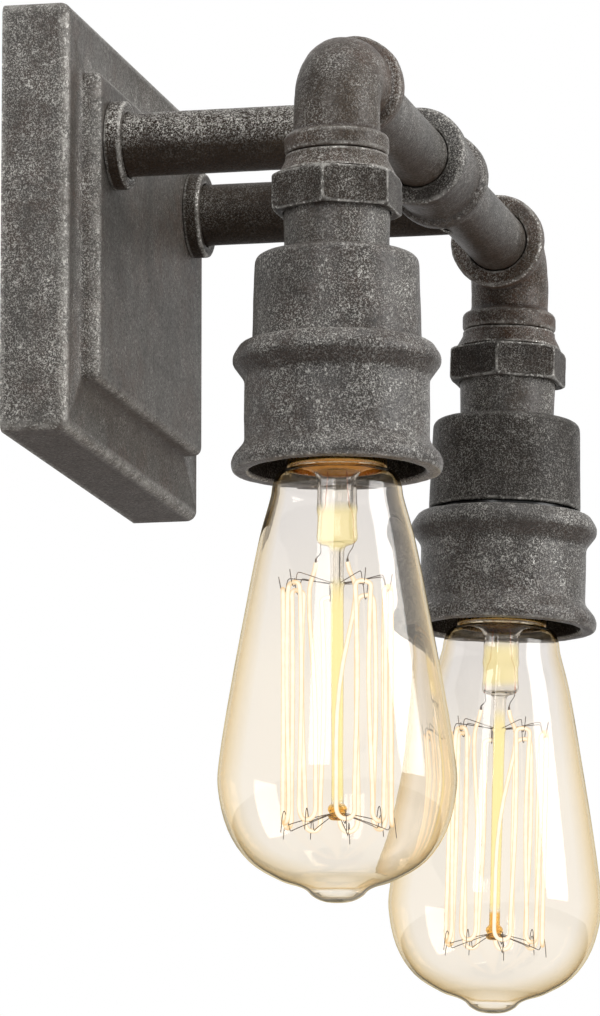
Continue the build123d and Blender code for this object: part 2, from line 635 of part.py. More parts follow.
def make_bulb_contact():
    """The tin contact button on top of the cap."""
    foot = -CONTACT_TOP - CONTACT_BUTTON_HEIGHT
    return lathe([
        (0, -CONTACT_TOP, 0), (2.4, -CONTACT_TOP, 0), (CONTACT_BUTTON_RADIUS, foot + 0.4, 0),
        (CONTACT_BUTTON_RADIUS, foot, 0), (0, foot, 0),
    ])


def make_bulb_insulator():
    """The dark glass cone between the contact and the cap."""
    top = -CONTACT_TOP - CONTACT_BUTTON_HEIGHT
    return lathe([
        (0, top, 0), (CONTACT_BUTTON_RADIUS + 0.4, top, 0), (CAP_TOP_RADIUS, -CAP_TOP, 0), (0, -CAP_TOP, 0),
    ])


def make_bulb_cap():
    """The brass cap: closed top, rolled thread, plain skirt, hollow below for the glass neck."""
    top, foot = -CAP_TOP, thread_foot()
    neck_bore = GLASS_OUTLINE[0][0] + PIPE_FIT
    thread_bore = THREAD_CORE_RADIUS - CAP_SHEET
    body = lathe([
        (0, top, 0), (CAP_TOP_RADIUS, top, 0), (THREAD_CORE_RADIUS, top - 1.8, 0),
        (THREAD_CORE_RADIUS, foot - 0.2, 0),
        (CAP_SKIRT_RADIUS, foot - 1.0, 0.3), (CAP_SKIRT_RADIUS, -CAP_BOTTOM, 0.2), (neck_bore, -CAP_BOTTOM, 0),
        (neck_bore, foot - 1.4, 0), (thread_bore, foot - 1.0, 0), (thread_bore, top - 2.4, 0),
        (CAP_TOP_RADIUS - CAP_SHEET, top - CAP_SHEET, 0), (0, top - CAP_SHEET, 0),
    ])
    core = Pos(0, 0, foot) * Cylinder(THREAD_CORE_RADIUS - CAP_SHEET / 2, 4 * (top - foot))
    return body + (thread_ridge(THREAD_CORE_RADIUS, THREAD_RIDGE, foot, THREAD_TURNS) - core)


def flow_directions(points):
    """The direction of a smooth curve at each of its points; it ends square to the bulb's axis."""
    spans = [after - before for before, after in zip(points, points[1:])]
    middle = [
        (before.normalized() * after.length + after.normalized() * before.length).normalized()
        for before, after in zip(spans, spans[1:])
    ]
    return [spans[0].normalized()] + middle + [Vector(-1, 0)]


def flowing_curve(points, directions):
    """Smoothly joined curves through the points, in the given directions."""
    curves = []
    for start, end, out, into in zip(points, points[1:], directions, directions[1:]):
        handle = (end - start).length / 3
        curves.append(Bezier(start, start + out * handle, end - into * handle, end))
    return curves


def make_bulb_glass():
    """The clear glass: a thin shell with an open neck in the cap and a drawn solid tip."""
    outside = [Vector(radius, -depth) for radius, depth in GLASS_OUTLINE]
    directions = flow_directions(outside)
    inside = [point + Vector(along.Y, -along.X) * GLASS_WALL for point, along in zip(outside, directions)]
    neck = outside[0]
    inner_neck = inside[0] = neck - Vector(GLASS_WALL, GLASS_WALL / 2)
    rise = Vector(0, NECK_GLASS_HEIGHT)
    pip_root = outside[-2]
    pip_height = PIP_BOTTOM + pip_root.Y
    pip_sphere = (pip_root.X ** 2 + pip_height ** 2) / (2 * pip_height)
    tip = Vector(0, -PIP_BOTTOM)
    section = make_face([
        Line(inner_neck + rise, neck + rise),
        Line(neck + rise, neck),
        *flowing_curve(outside[:-1], directions[:-1]),
        RadiusArc(pip_root, tip, pip_sphere),
        Line(tip, inside[-1]),
        *flowing_curve(inside, directions),
        Line(inner_neck, inner_neck + rise),
    ])
    return Rot(90, 0, 0) * revolve(section, Axis.Y, 360)


def make_bulb_stem():
    """The glass stem: flared foot in the neck, tube, flat pinch and centre rod with its button."""
    flare = CAP_BOTTOM - 3.0
    tube = lathe([
        (0, -flare, 0), (STEM_FOOT_RADIUS, -flare, 0), (STEM_TUBE_RADIUS, -CAP_BOTTOM - 3, 1.5),
        (STEM_TUBE_RADIUS, -PINCH_TOP, 1.0), (ROD_RADIUS, -PINCH_TOP - 1.5, 0), (0, -PINCH_TOP - 1.5, 0),
    ])
    pinch_height = PINCH_BOTTOM - PINCH_TOP
    pinch = Pos(0, 0, -PINCH_TOP - pinch_height / 2) * Box(3.4, 11.0, pinch_height)
    pinch = fillet(pinch.edges().filter_by(Axis.Z), 1.4)
    button = ROD_RADIUS * 1.5
    centre = lathe([
        (0, -PINCH_BOTTOM + 1, 0), (ROD_RADIUS, -PINCH_BOTTOM + 1, 0), (ROD_RADIUS * 0.8, -ROD_BOTTOM + 3, 0),
        (button, -ROD_BOTTOM + 1, 0), (button, -ROD_BOTTOM - 1.2, 0.9), (0, -ROD_BOTTOM - 1.2, 0),
    ])
    return tube + pinch + centre


def cage_point(leg, depth, radius=None):
    """A point on the filament cage beside a given leg."""
    angle = 2 * math.pi * (leg + 0.5) / HAIRPIN_LEGS
    reach = CAGE_RADIUS if radius is None else radius
    return (reach * math.cos(angle), reach * math.sin(angle), -depth)


def make_bulb_filament():
    """The filament: one unbroken wire that runs up and down the cage in long hairpins."""
    chord = 2 * CAGE_RADIUS * math.sin(math.pi / HAIRPIN_LEGS)
    turn = chord / 2 * 0.98
    points = []
    for leg in range(HAIRPIN_LEGS):
        ends = [cage_point(leg, CAGE_TOP), cage_point(leg, CAGE_BOTTOM)]
        points += ends if leg % 2 == 0 else ends[::-1]
    path = FilletPolyline(*points, radius=turn)
    least_gap = chord - 2 * FILAMENT_RADIUS
    print(f"filament: {HAIRPIN_LEGS} legs, least gap {least_gap:.2f} mm, length {path.length:.0f} mm")
    return sweep(Plane(path @ 0, z_dir=path % 0) * Circle(FILAMENT_RADIUS), path)


def make_bulb_supports():
    """The support wires: hooks from the rod to the hairpins' turns, and the two lead-in wires."""
    reach = CAGE_RADIUS + 0.7
    clear = FILAMENT_RADIUS + SUPPORT_RADIUS + 0.15
    wires = []
    for leg in range(0, HAIRPIN_LEGS, 2):
        root = cage_point(leg + 0.5, ROD_BOTTOM - 0.4, ROD_RADIUS)
        wires.append(rod(SUPPORT_RADIUS, root, cage_point(leg + 0.5, CAGE_BOTTOM - clear, reach)))
    for leg in range(1, HAIRPIN_LEGS - 1, 2):
        root = cage_point(leg + 0.5, CAGE_TOP + 1.5, ROD_RADIUS * 0.7)
        wires.append(rod(SUPPORT_RADIUS, root, cage_point(leg + 0.5, CAGE_TOP + clear, reach)))
    for leg, sign in ((0, 1), (HAIRPIN_LEGS - 1, -1)):
        end = cage_point(leg, CAGE_TOP - clear)
        root_y = sign * 3.4
        root = (0, root_y, -PINCH_BOTTOM + 2)
        knee = (0, root_y, -PINCH_BOTTOM - 1.5)
        bow = (1.5, sign * 5.2, -PINCH_BOTTOM - 4.0)
        wires.append(wire_rod(SUPPORT_RADIUS, [root, knee, bow, end], 1.5))
    return wires


# ---- Leads ----

def lead_route(side, lane):
    """Corner points of one lead, from its connector behind the panel to its terminal screw."""
    sign = SIDES[side]
    x_arm = sign * ARM_HALF_SPACING
    x_lamp = sign * LAMP_HALF_SPACING
    offset = lane * LEAD_SPREAD
    y, z = -PIPE_FROM_WALL, PIPE_HEIGHT
    drop = SOCKET_DROP[side]
    terminal_x = x_lamp + sign * lane * (TERMINAL_RADIUS - 1.0)
    connector = connector_place(lane)
    mouth_x = connector[0] + sign * 1.4
    rise_y = CONNECTOR_Y + sign * LEAD_STAGGER
    return [
        (mouth_x, CONNECTOR_Y, connector[1] - 6.0),
        (mouth_x, CONNECTOR_Y, connector[1] + 4.0),
        (mouth_x, rise_y, connector[1] + 12.0),
        (x_arm, INNER_FACE + ARM_TAIL + 5.5, z + offset),
        (x_arm, y, z + offset),
        (x_lamp + sign * offset, y, z + offset),
        in_lamp(side, x_lamp + sign * offset, STEM_BOTTOM + drop + 1.0),
        in_lamp(side, terminal_x, SOCKET_FLOOR_TOP + drop - 2.9),
    ]


def connector_place(lane):
    """X and Z of the mouth of the connector of one lane: +1 the line side, -1 the neutral side."""
    return (lane * CONNECTOR_HALF_SPACING, CONNECTOR_MOUTH_Z)


def make_leads(side):
    """The two insulated leads of one lamp."""
    return [wire_rod(LEAD_RADIUS, lead_route(side, lane), LEAD_BENDS) for lane in (1, -1)]


# ---- Write the nodes ----

save("back_plate", make_back_plate())
save("mounting_bracket", make_bracket())
save("plate_screws", *make_plate_screws())
save("ground_screw", make_ground_screw())
save("wire_connectors", *[make_wire_connector(*connector_place(lane)) for lane in (1, -1)])
save("centre_coupling", make_centre_coupling())
save("arm_washers", *[make_arm_washer(side) for side in SIDES])
save("arm_lock_nuts", *[make_arm_lock_nut(side) for side in SIDES])

for side, sign in SIDES.items():
    save(f"arm_{side}", make_arm(side))
    save(f"arm_flange_{side}", make_arm_flange(side))
    save(f"cross_pipe_{side}", make_cross_pipe(side))
    elbow = make_elbow() if side == "right" else mirror(make_elbow(), Plane.YZ)
    save(f"elbow_{side}", at_lamp(side, elbow))
    save(f"union_tail_{side}", at_lamp(side, make_union_tail()))
    save(f"union_nut_{side}", at_lamp(side, make_union_nut()))
    save(f"nipple_{side}", at_lamp(side, make_nipple()))
    save(f"socket_cup_{side}", at_lamp(side, make_socket_cup()))
    save(f"cup_nut_{side}", at_lamp(side, make_cup_nut()))
    save(f"lamp_leads_{side}", *make_leads(side))

    drop = SOCKET_DROP[side]
    save(f"socket_stem_{side}", at_lamp(side, make_socket_stem(), drop))
    save(f"socket_cap_{side}", at_lamp(side, make_socket_cap(), drop))
    save(f"socket_body_{side}", at_lamp(side, make_socket_body(), drop))
    save(f"terminal_screws_{side}", *[at_lamp(side, screw, drop) for screw in make_terminal_screws()])
    save(f"screw_shell_{side}", at_lamp(side, make_screw_shell(), drop))
    save(f"centre_contact_{side}", at_lamp(side, make_centre_contact(), drop))
    save(f"bell_{side}", at_lamp(side, make_bell(), drop))
    save(f"retaining_ring_{side}", at_lamp(side, make_retaining_ring(), drop))
    save(f"bulb_contact_{side}", at_lamp(side, make_bulb_contact(), drop))
    save(f"bulb_insulator_{side}", at_lamp(side, make_bulb_insulator(), drop))
    save(f"bulb_cap_{side}", at_lamp(side, make_bulb_cap(), drop))
    save(f"bulb_glass_{side}", at_lamp(side, make_bulb_glass(), drop))
    save(f"bulb_stem_{side}", at_lamp(side, make_bulb_stem(), drop))
    save(f"bulb_filament_{side}", at_lamp(side, make_bulb_filament(), drop))
    save(f"bulb_supports_{side}", *[at_lamp(side, wire, drop) for wire in make_bulb_supports()])
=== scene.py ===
import json
import math

import bpy
import numpy
from mathutils import Matrix, Vector, noise


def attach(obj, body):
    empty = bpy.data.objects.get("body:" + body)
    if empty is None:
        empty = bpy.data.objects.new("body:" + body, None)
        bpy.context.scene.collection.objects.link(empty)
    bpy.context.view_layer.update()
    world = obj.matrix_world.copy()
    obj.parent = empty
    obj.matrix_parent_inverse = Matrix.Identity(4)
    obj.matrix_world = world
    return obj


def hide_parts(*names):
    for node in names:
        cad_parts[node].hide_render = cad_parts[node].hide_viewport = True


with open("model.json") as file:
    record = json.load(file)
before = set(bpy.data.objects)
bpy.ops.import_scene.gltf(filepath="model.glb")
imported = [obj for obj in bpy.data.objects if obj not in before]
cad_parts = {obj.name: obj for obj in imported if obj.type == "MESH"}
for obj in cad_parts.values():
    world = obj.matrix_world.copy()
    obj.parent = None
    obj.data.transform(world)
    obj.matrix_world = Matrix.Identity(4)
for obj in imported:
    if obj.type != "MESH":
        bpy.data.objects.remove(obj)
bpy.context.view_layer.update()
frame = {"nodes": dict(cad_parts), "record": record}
bpy.ops.object.select_all(action="DESELECT")

SIDES = {"left": -1, "right": 1}
LAMP_X, LAMP_Y, PIPE_Z = 0.1235, -0.1047, 0.0254
SOCKET_DROP = {"left": 0.0, "right": 0.0044}
LAMP_LEAN = {"left": 0.0, "right": math.radians(1.7)}

# Camera, as fitted to the photograph: focal length in pixels of a 1016 high frame, place and aim
FOCAL_PX = 7171.9
FRAME_HEIGHT_PX = 1016
CAMERA_AT = (-1.952, -0.501, -0.419)
CAMERA_YAW = 77.47
CAMERA_PITCH = 9.87


# ---- Materials ----

class Shader:
    """A material's node tree, with short calls for the nodes that the finishes here are made of."""

    def __init__(self, name):
        self.material = bpy.data.materials.new(name)
        self.material.use_nodes = True
        self.tree = self.material.node_tree
        self.tree.nodes.clear()
        self.output = self.node("ShaderNodeOutputMaterial")
        self.place = self.node("ShaderNodeTexCoord").outputs["Object"]

    def node(self, kind, **settings):
        made = self.tree.nodes.new(kind)
        for key, value in settings.items():
            setattr(made, key, value)
        return made

    def link(self, source, target):
        self.tree.links.new(source, target)

    def put(self, value, target):
        """Set an input to a value, or link it where the value is another node's output."""
        if isinstance(value, bpy.types.NodeSocket):
            self.link(value, target)
        else:
            target.default_value = value

    def noise(self, scale, detail=4.0, roughness=0.55, distortion=0.0):
        made = self.node("ShaderNodeTexNoise")
        self.link(self.place, made.inputs["Vector"])
        made.inputs["Scale"].default_value = scale
        made.inputs["Detail"].default_value = detail
        made.inputs["Roughness"].default_value = roughness
        made.inputs["Distortion"].default_value = distortion
        return made.outputs["Fac"]

    def band(self, value, low, high, out_low=0.0, out_high=1.0):
        """Stretch low..high to out_low..out_high, clamped."""
        made = self.node("ShaderNodeMapRange", clamp=True)
        self.put(value, made.inputs["Value"])
        for key, number in (("From Min", low), ("From Max", high), ("To Min", out_low), ("To Max", out_high)):
            made.inputs[key].default_value = number
        return made.outputs["Result"]

    def combine(self, operation, first, second):
        made = self.node("ShaderNodeMath", operation=operation)
        self.put(first, made.inputs[0])
        self.put(second, made.inputs[1])
        return made.outputs[0]

    def product(self, *values):
        made = values[0]
        for value in values[1:]:
            made = self.combine("MULTIPLY", made, value)
        return made

    def most(self, first, second):
        return self.combine("MAXIMUM", first, second)

    def size_of(self, value):
        return self.combine("ABSOLUTE", value, 0.0)

    def parts(self, vector):
        made = self.node("ShaderNodeSeparateXYZ")
        self.link(vector, made.inputs[0])
        return made.outputs

    def edge_on(self, blend):
        """How far the surface turns away from the eye: 0 facing it, 1 seen edge on."""
        made = self.node("ShaderNodeLayerWeight")
        made.inputs["Blend"].default_value = blend
        return made.outputs["Facing"]

    def flecks(self, scale, width, distortion=0.9):
        """Short crooked marks: where one noise crosses its middle value, broken up by another."""
        line = self.size_of(self.combine("SUBTRACT", self.noise(scale, 2, 0.5, distortion), 0.5))
        broken = self.band(self.noise(scale * 1.9, 2, 0.5), 0.53, 0.62)
        return self.product(self.band(line, width, width * 0.35), broken)

    def blend(self, factor, first, second):
        made = self.node("ShaderNodeMix", data_type="RGBA")
        self.put(factor, made.inputs["Factor"])
        self.put(first, made.inputs[6])
        self.put(second, made.inputs[7])
        return made.outputs[2]

    def bump(self, height, strength, distance):
        made = self.node("ShaderNodeBump")
        made.inputs["Strength"].default_value = strength
        made.inputs["Distance"].default_value = distance
        self.link(height, made.inputs["Height"])
        return made.outputs["Normal"]

    def mixed(self, factor, first, second):
        """A surface between two shader nodes."""
        made = self.node("ShaderNodeMixShader")
        self.link(factor, made.inputs[0])
        self.link(first.outputs[0], made.inputs[1])
        self.link(second.outputs[0], made.inputs[2])
        return made

    def glass(self, colour, normal, refraction, roughness):
        made = self.node("ShaderNodeBsdfGlass")
        made.inputs["IOR"].default_value = refraction
        made.inputs["Roughness"].default_value = roughness
        self.link(colour, made.inputs["Color"])
        self.link(normal, made.inputs["Normal"])
        return made

    def glow(self, colour, strength):
        made = self.node("ShaderNodeEmission")
        self.put(colour, made.inputs["Color"])
        self.put(strength, made.inputs["Strength"])
        return made

    def finish_glass(self, surface, shade=(1, 1, 1, 1)):
        """Show a glass surface, but let light pass straight through it, so that it throws no hard shadow."""
        through = self.node("ShaderNodeBsdfTransparent")
        through.inputs["Color"].default_value = shade
        path = self.node("ShaderNodeLightPath")
        light = self.most(path.outputs["Is Shadow Ray"], path.outputs["Is Diffuse Ray"])
        self.link(self.mixed(light, surface, through).outputs[0], self.output.inputs["Surface"])

    def principled(self, **inputs):
        made = self.node("ShaderNodeBsdfPrincipled")
        for key, value in inputs.items():
            self.put(value, made.inputs[key.replace("_", " ")])
        self.link(made.outputs[0], self.output.inputs["Surface"])
        return made


def tint(red, green, blue):
    """A colour written as it looks on screen, 0 to 255, as the linear colour that Blender uses."""
    def linear(level):
        level /= 255
        return level / 12.92 if level <= 0.04045 else ((level + 0.055) / 1.055) ** 2.4
    return (linear(red), linear(green), linear(blue), 1.0)


def dimmed(colour, factor):
    """The same colour with less light in it."""
    return tuple(channel * factor for channel in colour[:3]) + (1.0,)


# Pale tints of brush marks and bared metal; laid thicker on upward faces, they also paint highlight
BRUSHED, MARK, GLINT = tint(122, 118, 112), tint(226, 222, 214), tint(224, 221, 214)


def aged_iron(name, ground, shade, brown, share=1.0, coarse=0.35, gloss=0.42, pitting=0.5, wear=None,
              browning=0.6, smooth_front=False, shine=0.45, painted_top_light=False):
    """Iron with an aged dark finish: mottled ground, brown tints, fine pale brush marks, worn edges, and painted
    light.

    Downward faces are browner and darker, partly rust and partly painted shade; hollows are darkened as painted
    crease shade;
    the pale marks and glints lie thicker on upward faces as painted highlight, and painted_top_light keeps them
    to the top.
    share is how much silver has been brushed out, coarse how much of it is in larger glints, and wear a
    function that says where the edges are worn, where the piece has no "edge" attribute.
    """
    s = Shader(name)
    broad = s.noise(42, 4, 0.55)
    middle = s.noise(230, 4, 0.6)
    fine = s.noise(1300, 3, 0.6)
    _, forwards, upwards = s.parts(s.node("ShaderNodeNewGeometry").outputs["Normal"])

    colour = s.blend(s.band(broad, 0.34, 0.66, 0.1, 1.0), shade, ground)
    tinted = s.product(s.band(s.noise(30, 5, 0.6), 0.42, 0.6), s.band(middle, 0.3, 0.6), browning)
    # Browner and darker on downward faces: partly rust, partly painted shade
    underside_rust_and_shade = s.band(upwards, -0.25, -0.9, 0.0, 0.85)
    colour = s.blend(s.most(tinted, underside_rust_and_shade), colour, brown)
    colour = s.blend(s.band(fine, 0.4, 0.66, 0.0, 0.72), colour, dimmed(shade, 0.45))

    # Brush marks, fewer on downward faces: partly the finish, partly painted highlight on the lit upper side
    brushed = s.product(
        s.band(s.noise(95, 5, 0.7), 0.33, 0.68, 0.12, 1.0),
        s.band(upwards, -0.75, 0.0, 0.25, 1.0),
        s.band(s.noise(36, 3, 0.5), 0.4, 0.6, min(1.0, 0.5 + 0.45 * coarse), 1.0),
    )
    # Painted highlight: marks kept to the upper faces, where the light falls
    if painted_top_light:
        brushed = s.product(brushed, s.band(upwards, -0.35, 0.35, 0.1, 1.0))
    if smooth_front:
        brushed = s.product(brushed, s.band(s.size_of(forwards), 0.7, 0.97, 1.0, 0.3))
    colour = s.blend(s.product(s.band(brushed, 0.35, 0.95, 0.0, 0.16), share), colour, BRUSHED)

    # Pale marks and glints follow the brushed mask, so they too lie thicker on upward faces as painted highlight
    marks = s.product(s.most(s.flecks(1000, 0.1), s.flecks(1500, 0.12, distortion=1.6)), brushed, share)
    rare = 0.62 - 0.25 * coarse
    glints = s.product(s.flecks(620, 0.075), s.band(s.noise(150, 3, 0.6), rare, rare + 0.1), brushed, share)
    if wear is None:
        edge = s.node("ShaderNodeAttribute", attribute_name="edge").outputs["Fac"]
        worn = s.band(edge, 0.25, 1.0)
        # Dark brown where the surface falls in: painted shade in the creases
        colour = s.blend(s.band(edge, -0.05, -0.6, 0.0, 0.9), colour, dimmed(brown, 0.3))
    else:
        worn = wear(s)
    rubbed = s.product(worn, s.most(s.band(middle, 0.45, 0.65, 0.12, 0.5), s.flecks(700, 0.14)))
    colour = s.blend(marks, colour, MARK)
    bared = s.most(glints, rubbed)
    colour = s.blend(bared, colour, GLINT)

    height = s.combine("ADD", s.product(fine, 0.5), s.product(middle, 0.8))
    height = s.combine("ADD", height, s.product(s.most(marks, glints), 0.2))
    made = s.principled(
        Base_Color=colour, Metallic=s.band(bared, 0.0, 1.0, 0.0, 0.5), Normal=s.bump(height, pitting, 0.0005),
        Roughness=s.band(fine, 0.3, 0.7, gloss - 0.06, gloss + 0.14),
    )
    made.inputs["Specular IOR Level"].default_value = shine
    return s.material


# Half sizes of the back plate and of its raised panel, and how far each stands out from the wall
PLATE_SIDE, PLATE_END, PLATE_FRONT = 0.0785, 0.0603, 0.019
PANEL_SIDE, PANEL_END = 0.0621, 0.0439
PANEL_FOOT, PANEL_FRONT = 0.0205, 0.0232


def plate_wear(s):
    """Wear on the back plate: along the outer edges, and along the edges of the raised panel."""
    x, y, z = s.parts(s.place)
    across, upright = s.size_of(x), s.size_of(z)

    def near(value, limit, reach=0.0034):
        return s.band(value, limit - reach, limit - 0.0006)

    side, end = near(across, PLATE_SIDE), near(upright, PLATE_END)
    front_or_back = s.most(near(s.product(y, -1.0), PLATE_FRONT, 0.0032), s.band(y, -0.0016, -0.0002))
    rim = s.most(s.product(side, front_or_back), s.product(end, front_or_back))
    rim = s.most(rim, s.product(side, end))
    panel = s.product(
        s.most(near(across, PANEL_SIDE, 0.0024), near(upright, PANEL_END, 0.0024)),
        s.band(y, -PANEL_FOOT, -PANEL_FRONT),
    )
    return s.most(rim, s.product(panel, 0.6))


def metal(name, colour, dark, roughness, scale=900.0):
    """A plain metal with a little mottling and fine tool marks."""
    s = Shader(name)
    mottle = s.noise(scale, 4, 0.6)
    wide = s.noise(scale / 12, 3, 0.5)
    mixed = s.blend(s.band(wide, 0.35, 0.65), dark, colour)
    s.principled(
        Base_Color=mixed, Metallic=1.0, Normal=s.bump(mottle, 0.25, 0.00005),
        Roughness=s.band(mottle, 0.3, 0.7, roughness - 0.06, roughness + 0.1),
    )
    return s.material


def moulded(name, colour, roughness, mark):
    """A moulded plastic or fused glass: even colour, faint mould texture, scuffs that change the gloss."""
    s = Shader(name)
    scuff = s.noise(700, 5, 0.65)
    mixed = s.blend(s.band(scuff, 0.55, 0.8, 0.0, 0.5), colour, mark)
    s.principled(Base_Color=mixed, Roughness=s.band(scuff, 0.3, 0.75, roughness, roughness + 0.15),
                 Normal=s.bump(s.noise(1800, 2), 0.1, 0.00003))
    return s.material


# Heights at which the bulbs' glass changes, on the fixture's own Z: from the first to the second
CEMENT_BELOW = (-0.0838, -0.0832)
PINCH_LIT_FROM, PINCH_LIT_TO = (-0.0925, -0.0945), (-0.1035, -0.1055)
NECK_TO_BELLY = (-0.095, -0.135)
ROD_LIT_FROM, ROD_LIT_TO = (-0.112, -0.122), (-0.17, -0.1725)
BUTTON_BELOW = (-0.1725, -0.1735)


def clear_glass(name, neck, belly, rim):
    """Thin blown glass: a little grey at the neck and warmer by the filament, as painted filament light; amber
    where it is seen edge on, partly the glass's tint and partly painted glow.
    """
    s = Shader(name)
    height = s.parts(s.place)[2]
    colour = s.blend(s.band(height, *NECK_TO_BELLY), neck, belly)
    colour = s.blend(s.band(s.edge_on(0.35), 0.3, 0.97), colour, rim)
    s.finish_glass(s.glass(colour, s.bump(s.noise(45, 2, 0.4), 0.12, 0.0008), 1.47, 0.0), belly)
    return s.material


def lit_stem_glass(name):
    """Drawn glass: amber cement at its foot with a faint glow, pinch and rod glowing yellow, all painted light
    from the cage around them; amber button.
    """
    s = Shader(name)
    turned_away = s.edge_on(0.4)
    height = s.parts(s.place)[2]
    colour = s.blend(s.band(turned_away, 0.4, 0.95), (0.98, 0.97, 0.95, 1), (0.62, 0.56, 0.47, 1))
    colour = s.blend(s.band(height, *BUTTON_BELOW), colour, (0.97, 0.82, 0.5, 1))
    glass = s.glass(colour, s.bump(s.noise(260, 2, 0.4), 0.15, 0.0006), 1.5, 0.02)
    # Painted light: rod and pinch glow yellow, as if lit from the filament cage
    rod = s.product(s.band(height, *ROD_LIT_FROM, 0.0, 0.75), s.band(height, *ROD_LIT_TO, 1.0, 0.0))
    pinch = s.product(s.band(height, *PINCH_LIT_FROM), s.band(height, *PINCH_LIT_TO, 0.3, 0.0))
    lit = s.product(s.most(rod, pinch), s.band(turned_away, 0.7, 0.2))
    glowing = s.mixed(lit, glass, s.glow((1.0, 0.86, 0.4, 1), 1.15))
    cement = s.node("ShaderNodeBsdfPrincipled")
    crumbs = s.band(s.noise(420, 3, 0.6), 0.35, 0.65)
    s.link(s.blend(crumbs, tint(206, 134, 44), tint(158, 92, 26)), cement.inputs["Base Color"])
    cement.inputs["Roughness"].default_value = 0.22
    # Painted light: the cement's faint orange glow stands for the filament's light on it
    cement.inputs["Emission Color"].default_value = (1.0, 0.5, 0.12, 1)
    cement.inputs["Emission Strength"].default_value = 0.2
    s.finish_glass(s.mixed(s.band(height, *CEMENT_BELOW), glowing, cement))
    return s.material


def glowing_wire(name, core, side):
    """A lit filament: white hot in the middle of its width, peach and yellow towards its sides."""
    s = Shader(name)
    colour = s.blend(s.band(s.edge_on(0.5), 0.12, 0.62), core, side)
    glow = s.glow(colour, s.band(s.noise(420, 2), 0.3, 0.7, 0.96, 1.12))
    s.link(glow.outputs[0], s.output.inputs["Surface"])
    return s.material


finishes = {
    "plate_iron": aged_iron(
        "aged iron sheet", tint(90, 86, 80), tint(62, 57, 51), tint(76, 58, 46),
        coarse=1.0, gloss=0.46, pitting=0.35, wear=plate_wear, browning=0.75, smooth_front=True),
    "pipe_iron": aged_iron(
        "aged iron pipe", tint(78, 73, 66), tint(44, 38, 32), tint(70, 51, 37),
        share=1.1, coarse=0.45, gloss=0.34, pitting=0.55),
    "cast_iron": aged_iron(
        "aged cast iron", tint(68, 63, 57), tint(40, 35, 30), tint(66, 48, 36),
        share=1.05, coarse=0.6, gloss=0.34, pitting=0.65),
    "zinc_steel": metal("zinc plated steel", tint(196, 196, 192), tint(168, 170, 172), 0.34),
    "brass": metal("rolled brass", tint(222, 182, 104), tint(196, 150, 78), 0.26),
    "tin": metal("soldered tin", tint(205, 203, 198), tint(170, 168, 164), 0.32, scale=500),
    "support_wire": metal("dark drawn wire", tint(116, 102, 90), tint(84, 74, 66), 0.4, scale=1500),
    "black_phenolic": moulded("black phenolic", tint(22, 21, 22), 0.16, tint(48, 47, 47)),
    "black_glass": moulded("fused black glass", tint(20, 20, 24), 0.08, tint(38, 38, 44)),
    "lead_insulation": moulded("lead insulation", tint(206, 202, 190), 0.55, tint(180, 176, 164)),
    "connector_plastic": moulded("orange connector plastic", tint(214, 112, 40), 0.4, tint(184, 92, 34)),
    # The grey neck and warm belly are painted filament light; the amber rim is partly painted glow
    "clear_glass": clear_glass(
        "clear bulb glass", (0.951, 0.938, 0.926, 1), (0.99, 0.97, 0.938, 1), (0.88, 0.71, 0.36, 1)),
    "stem_glass": lit_stem_glass("drawn stem glass"),
    "filament": glowing_wire("lit filament", (1.25, 1.13, 0.94, 1), (1.0, 0.7, 0.36, 1)),
}
COPPER = metal("coppered lead-in wire", tint(206, 122, 78), tint(160, 84, 50), 0.3, scale=1500)
# Left arm and flange: brown iron with brushed marks heaped on the top, painted highlight of the lit upper side
LIT_BROWN_ARM_IRON = aged_iron(
    "aged iron arm", tint(70, 58, 46), tint(40, 32, 25), tint(54, 39, 27),
    share=2.2, coarse=1.0, gloss=0.28, pitting=0.7, browning=0.7, shine=0.14, painted_top_light=True)
# Right arm and flange: a darker, less brushed copy of the arm's iron, painted shade
SHADED_ARM_IRON = aged_iron(
    "aged iron arm, painted shade", tint(64, 54, 44), tint(38, 30, 24), tint(50, 38, 28),
    share=0.4, coarse=0.3, gloss=0.36, pitting=0.6, browning=0.8, shine=0.12)
ELBOW_IRON = aged_iron(
    "aged iron elbow", tint(82, 68, 54), tint(52, 42, 33), tint(82, 57, 40),
    share=0.85, coarse=0.5, gloss=0.34, pitting=0.6, browning=0.95, shine=0.35)
NUT_IRON = aged_iron(
    "aged iron nut", tint(66, 60, 54), tint(42, 37, 33), tint(60, 47, 38),
    share=0.6, coarse=0.3, gloss=0.4, pitting=0.45, shine=0.14)
# Right socket cup: a darker, less brushed copy of the cast iron, painted shade
SHADED_CUP_IRON = aged_iron(
    "aged cast iron, painted shade", tint(66, 61, 56), tint(38, 34, 30), tint(56, 45, 37),
    share=0.7, coarse=0.3, gloss=0.38, pitting=0.6, shine=0.18)
BELL_IRON = aged_iron(
    "aged iron bell", tint(71, 65, 59), tint(40, 34, 29), tint(72, 51, 37),
    share=1.2, coarse=0.7, gloss=0.28, pitting=0.8, shine=0.5)
# Dark, dull inside of the bell: painted shade in its mouth
MOUTH_SHADE_IRON = aged_iron(
    "inside of the bell, painted shade", tint(46, 38, 32), tint(26, 21, 17), tint(38, 28, 21),
    share=0.3, coarse=0.1, gloss=0.5, pitting=0.5, shine=0.08)
slots = {part["node"]: part["material_slot"] for part in frame["record"]["subparts"]}
for node, part in frame["nodes"].items():
    part.data.materials.clear()
    part.data.materials.append(finishes[slots[node]])


# ---- Cast and drawn iron pieces, from the CAD shapes ----

def stand_in(piece, body, *nodes):
    """Let a finished piece take the place of CAD nodes of one body, in their finish."""
    piece.data.materials.clear()
    piece.data.materials.append(finishes[slots[nodes[0]]])
    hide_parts(*nodes)
    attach(piece, body)
    return piece


